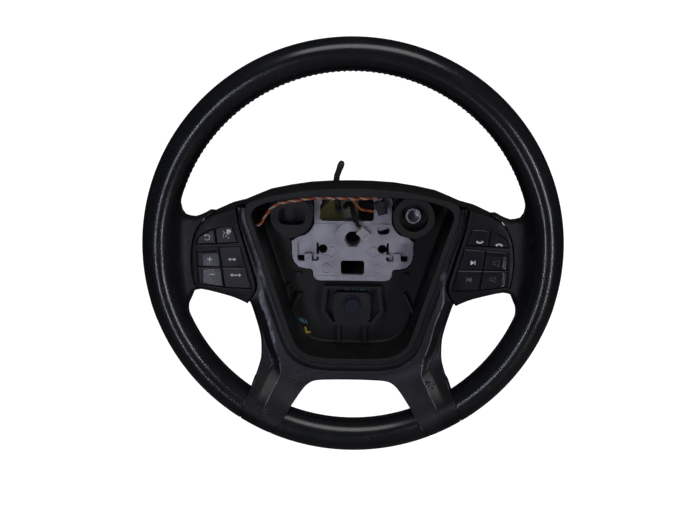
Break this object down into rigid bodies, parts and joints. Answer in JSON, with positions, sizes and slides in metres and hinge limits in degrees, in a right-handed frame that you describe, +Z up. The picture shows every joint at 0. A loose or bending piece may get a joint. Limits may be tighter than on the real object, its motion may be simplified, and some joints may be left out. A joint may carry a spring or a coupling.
{
  "type": "car steering wheel",
  "caption": "Three-spoke car steering wheel with the airbag taken out: leather rim, spoke trim, cast hub plate, moulded airbag well and two pods of push keys.",
  "frame": {"origin": "centre of the hub bore at the rear face of the hub boss", "axes": "+Y along the bore away from the driver, towards the column; +Z up across the wheel; +X to the driver's right"},
  "size_m": [0.385, 0.1068, 0.385],
  "materials": {
    "cast_alloy": "as cast, dull",
    "rim_leather": "worn, half gloss",
    "spoke_plastic": "satin, dark grey",
    "black_plastic": "fine grain",
    "pod_plastic": "satin",
    "key_plastic": "soft touch",
    "circuit_board": "lacquered",
    "key_rubber": "matt",
    "steel": "zinc plated",
    "dark_steel": "phosphated",
    "wire_skin": "half gloss",
    "lead_tape": "cloth tape",
    "plug_black": "moulded",
    "plug_white": "moulded",
    "cap_rubber": "matt"
  },
  "bodies": {
    "wheel": {"armature": "cast_alloy", "hub_boss": "cast_alloy", "rim_core": "steel", "upper_rim_grip": "rim_leather", "lower_rim_grip": "rim_leather", "spoke_trim": "spoke_plastic", "rear_cover": "black_plastic", "well_liner": "black_plastic", "left_switch_housing": "pod_plastic", "right_switch_housing": "pod_plastic", "left_switch_board": "circuit_board", "right_switch_board": "circuit_board", "left_key_mat": "key_rubber", "right_key_mat": "key_rubber", "right_guide_bush": "steel", "recess_screw": "dark_steel", "cover_screws": "steel", "horn_wires": "wire_skin", "horn_wire_tail": "wire_skin", "black_plug": "plug_black", "taped_lead": "lead_tape", "white_connector": "plug_white", "rear_lead": "lead_tape", "rear_lead_cap": "cap_rubber"},
    "cruise_key": {"left_key_cruise": "key_plastic"},
    "resume_key": {"left_key_resume": "key_plastic"},
    "gap_short_key": {"left_key_gap_short": "key_plastic"},
    "plus_key": {"left_key_plus": "key_plastic"},
    "gap_long_key": {"left_key_gap_long": "key_plastic"},
    "minus_key": {"left_key_minus": "key_plastic"},
    "phone_accept_key": {"right_key_phone_accept": "key_plastic"},
    "phone_end_key": {"right_key_phone_end": "key_plastic"},
    "next_key": {"right_key_next": "key_plastic"},
    "volume_up_key": {"right_key_volume_up": "key_plastic"},
    "previous_key": {"right_key_previous": "key_plastic"},
    "volume_down_key": {"right_key_volume_down": "key_plastic"}
  },
  "joints": [
    {"name": "press_cruise", "type": "slide", "parent": "wheel", "child": "cruise_key", "axis": [0, 1, 0], "range_m": [0, 0.0012], "stiffness_N_per_m": 1500},
    {"name": "press_resume", "type": "slide", "parent": "wheel", "child": "resume_key", "axis": [0, 1, 0], "range_m": [0, 0.0012], "stiffness_N_per_m": 1500},
    {"name": "press_gap_short", "type": "slide", "parent": "wheel", "child": "gap_short_key", "axis": [0, 1, 0], "range_m": [0, 0.0012], "stiffness_N_per_m": 1500},
    {"name": "press_plus", "type": "slide", "parent": "wheel", "child": "plus_key", "axis": [0, 1, 0], "range_m": [0, 0.0012], "stiffness_N_per_m": 1500},
    {"name": "press_gap_long", "type": "slide", "parent": "wheel", "child": "gap_long_key", "axis": [0, 1, 0], "range_m": [0, 0.0012], "stiffness_N_per_m": 1500},
    {"name": "press_minus", "type": "slide", "parent": "wheel", "child": "minus_key", "axis": [0, 1, 0], "range_m": [0, 0.0012], "stiffness_N_per_m": 1500},
    {"name": "press_phone_accept", "type": "slide", "parent": "wheel", "child": "phone_accept_key", "axis": [0, 1, 0], "range_m": [0, 0.0012], "stiffness_N_per_m": 1500},
    {"name": "press_phone_end", "type": "slide", "parent": "wheel", "child": "phone_end_key", "axis": [0, 1, 0], "range_m": [0, 0.0012], "stiffness_N_per_m": 1500},
    {"name": "press_next", "type": "slide", "parent": "wheel", "child": "next_key", "axis": [0, 1, 0], "range_m": [0, 0.0012], "stiffness_N_per_m": 1500},
    {"name": "press_volume_up", "type": "slide", "parent": "wheel", "child": "volume_up_key", "axis": [0, 1, 0], "range_m": [0, 0.0012], "stiffness_N_per_m": 1500},
    {"name": "press_previous", "type": "slide", "parent": "wheel", "child": "previous_key", "axis": [0, 1, 0], "range_m": [0, 0.0012], "stiffness_N_per_m": 1500},
    {"name": "press_volume_down", "type": "slide", "parent": "wheel", "child": "volume_down_key", "axis": [0, 1, 0], "range_m": [0, 0.0012], "stiffness_N_per_m": 1500}
  ]
}
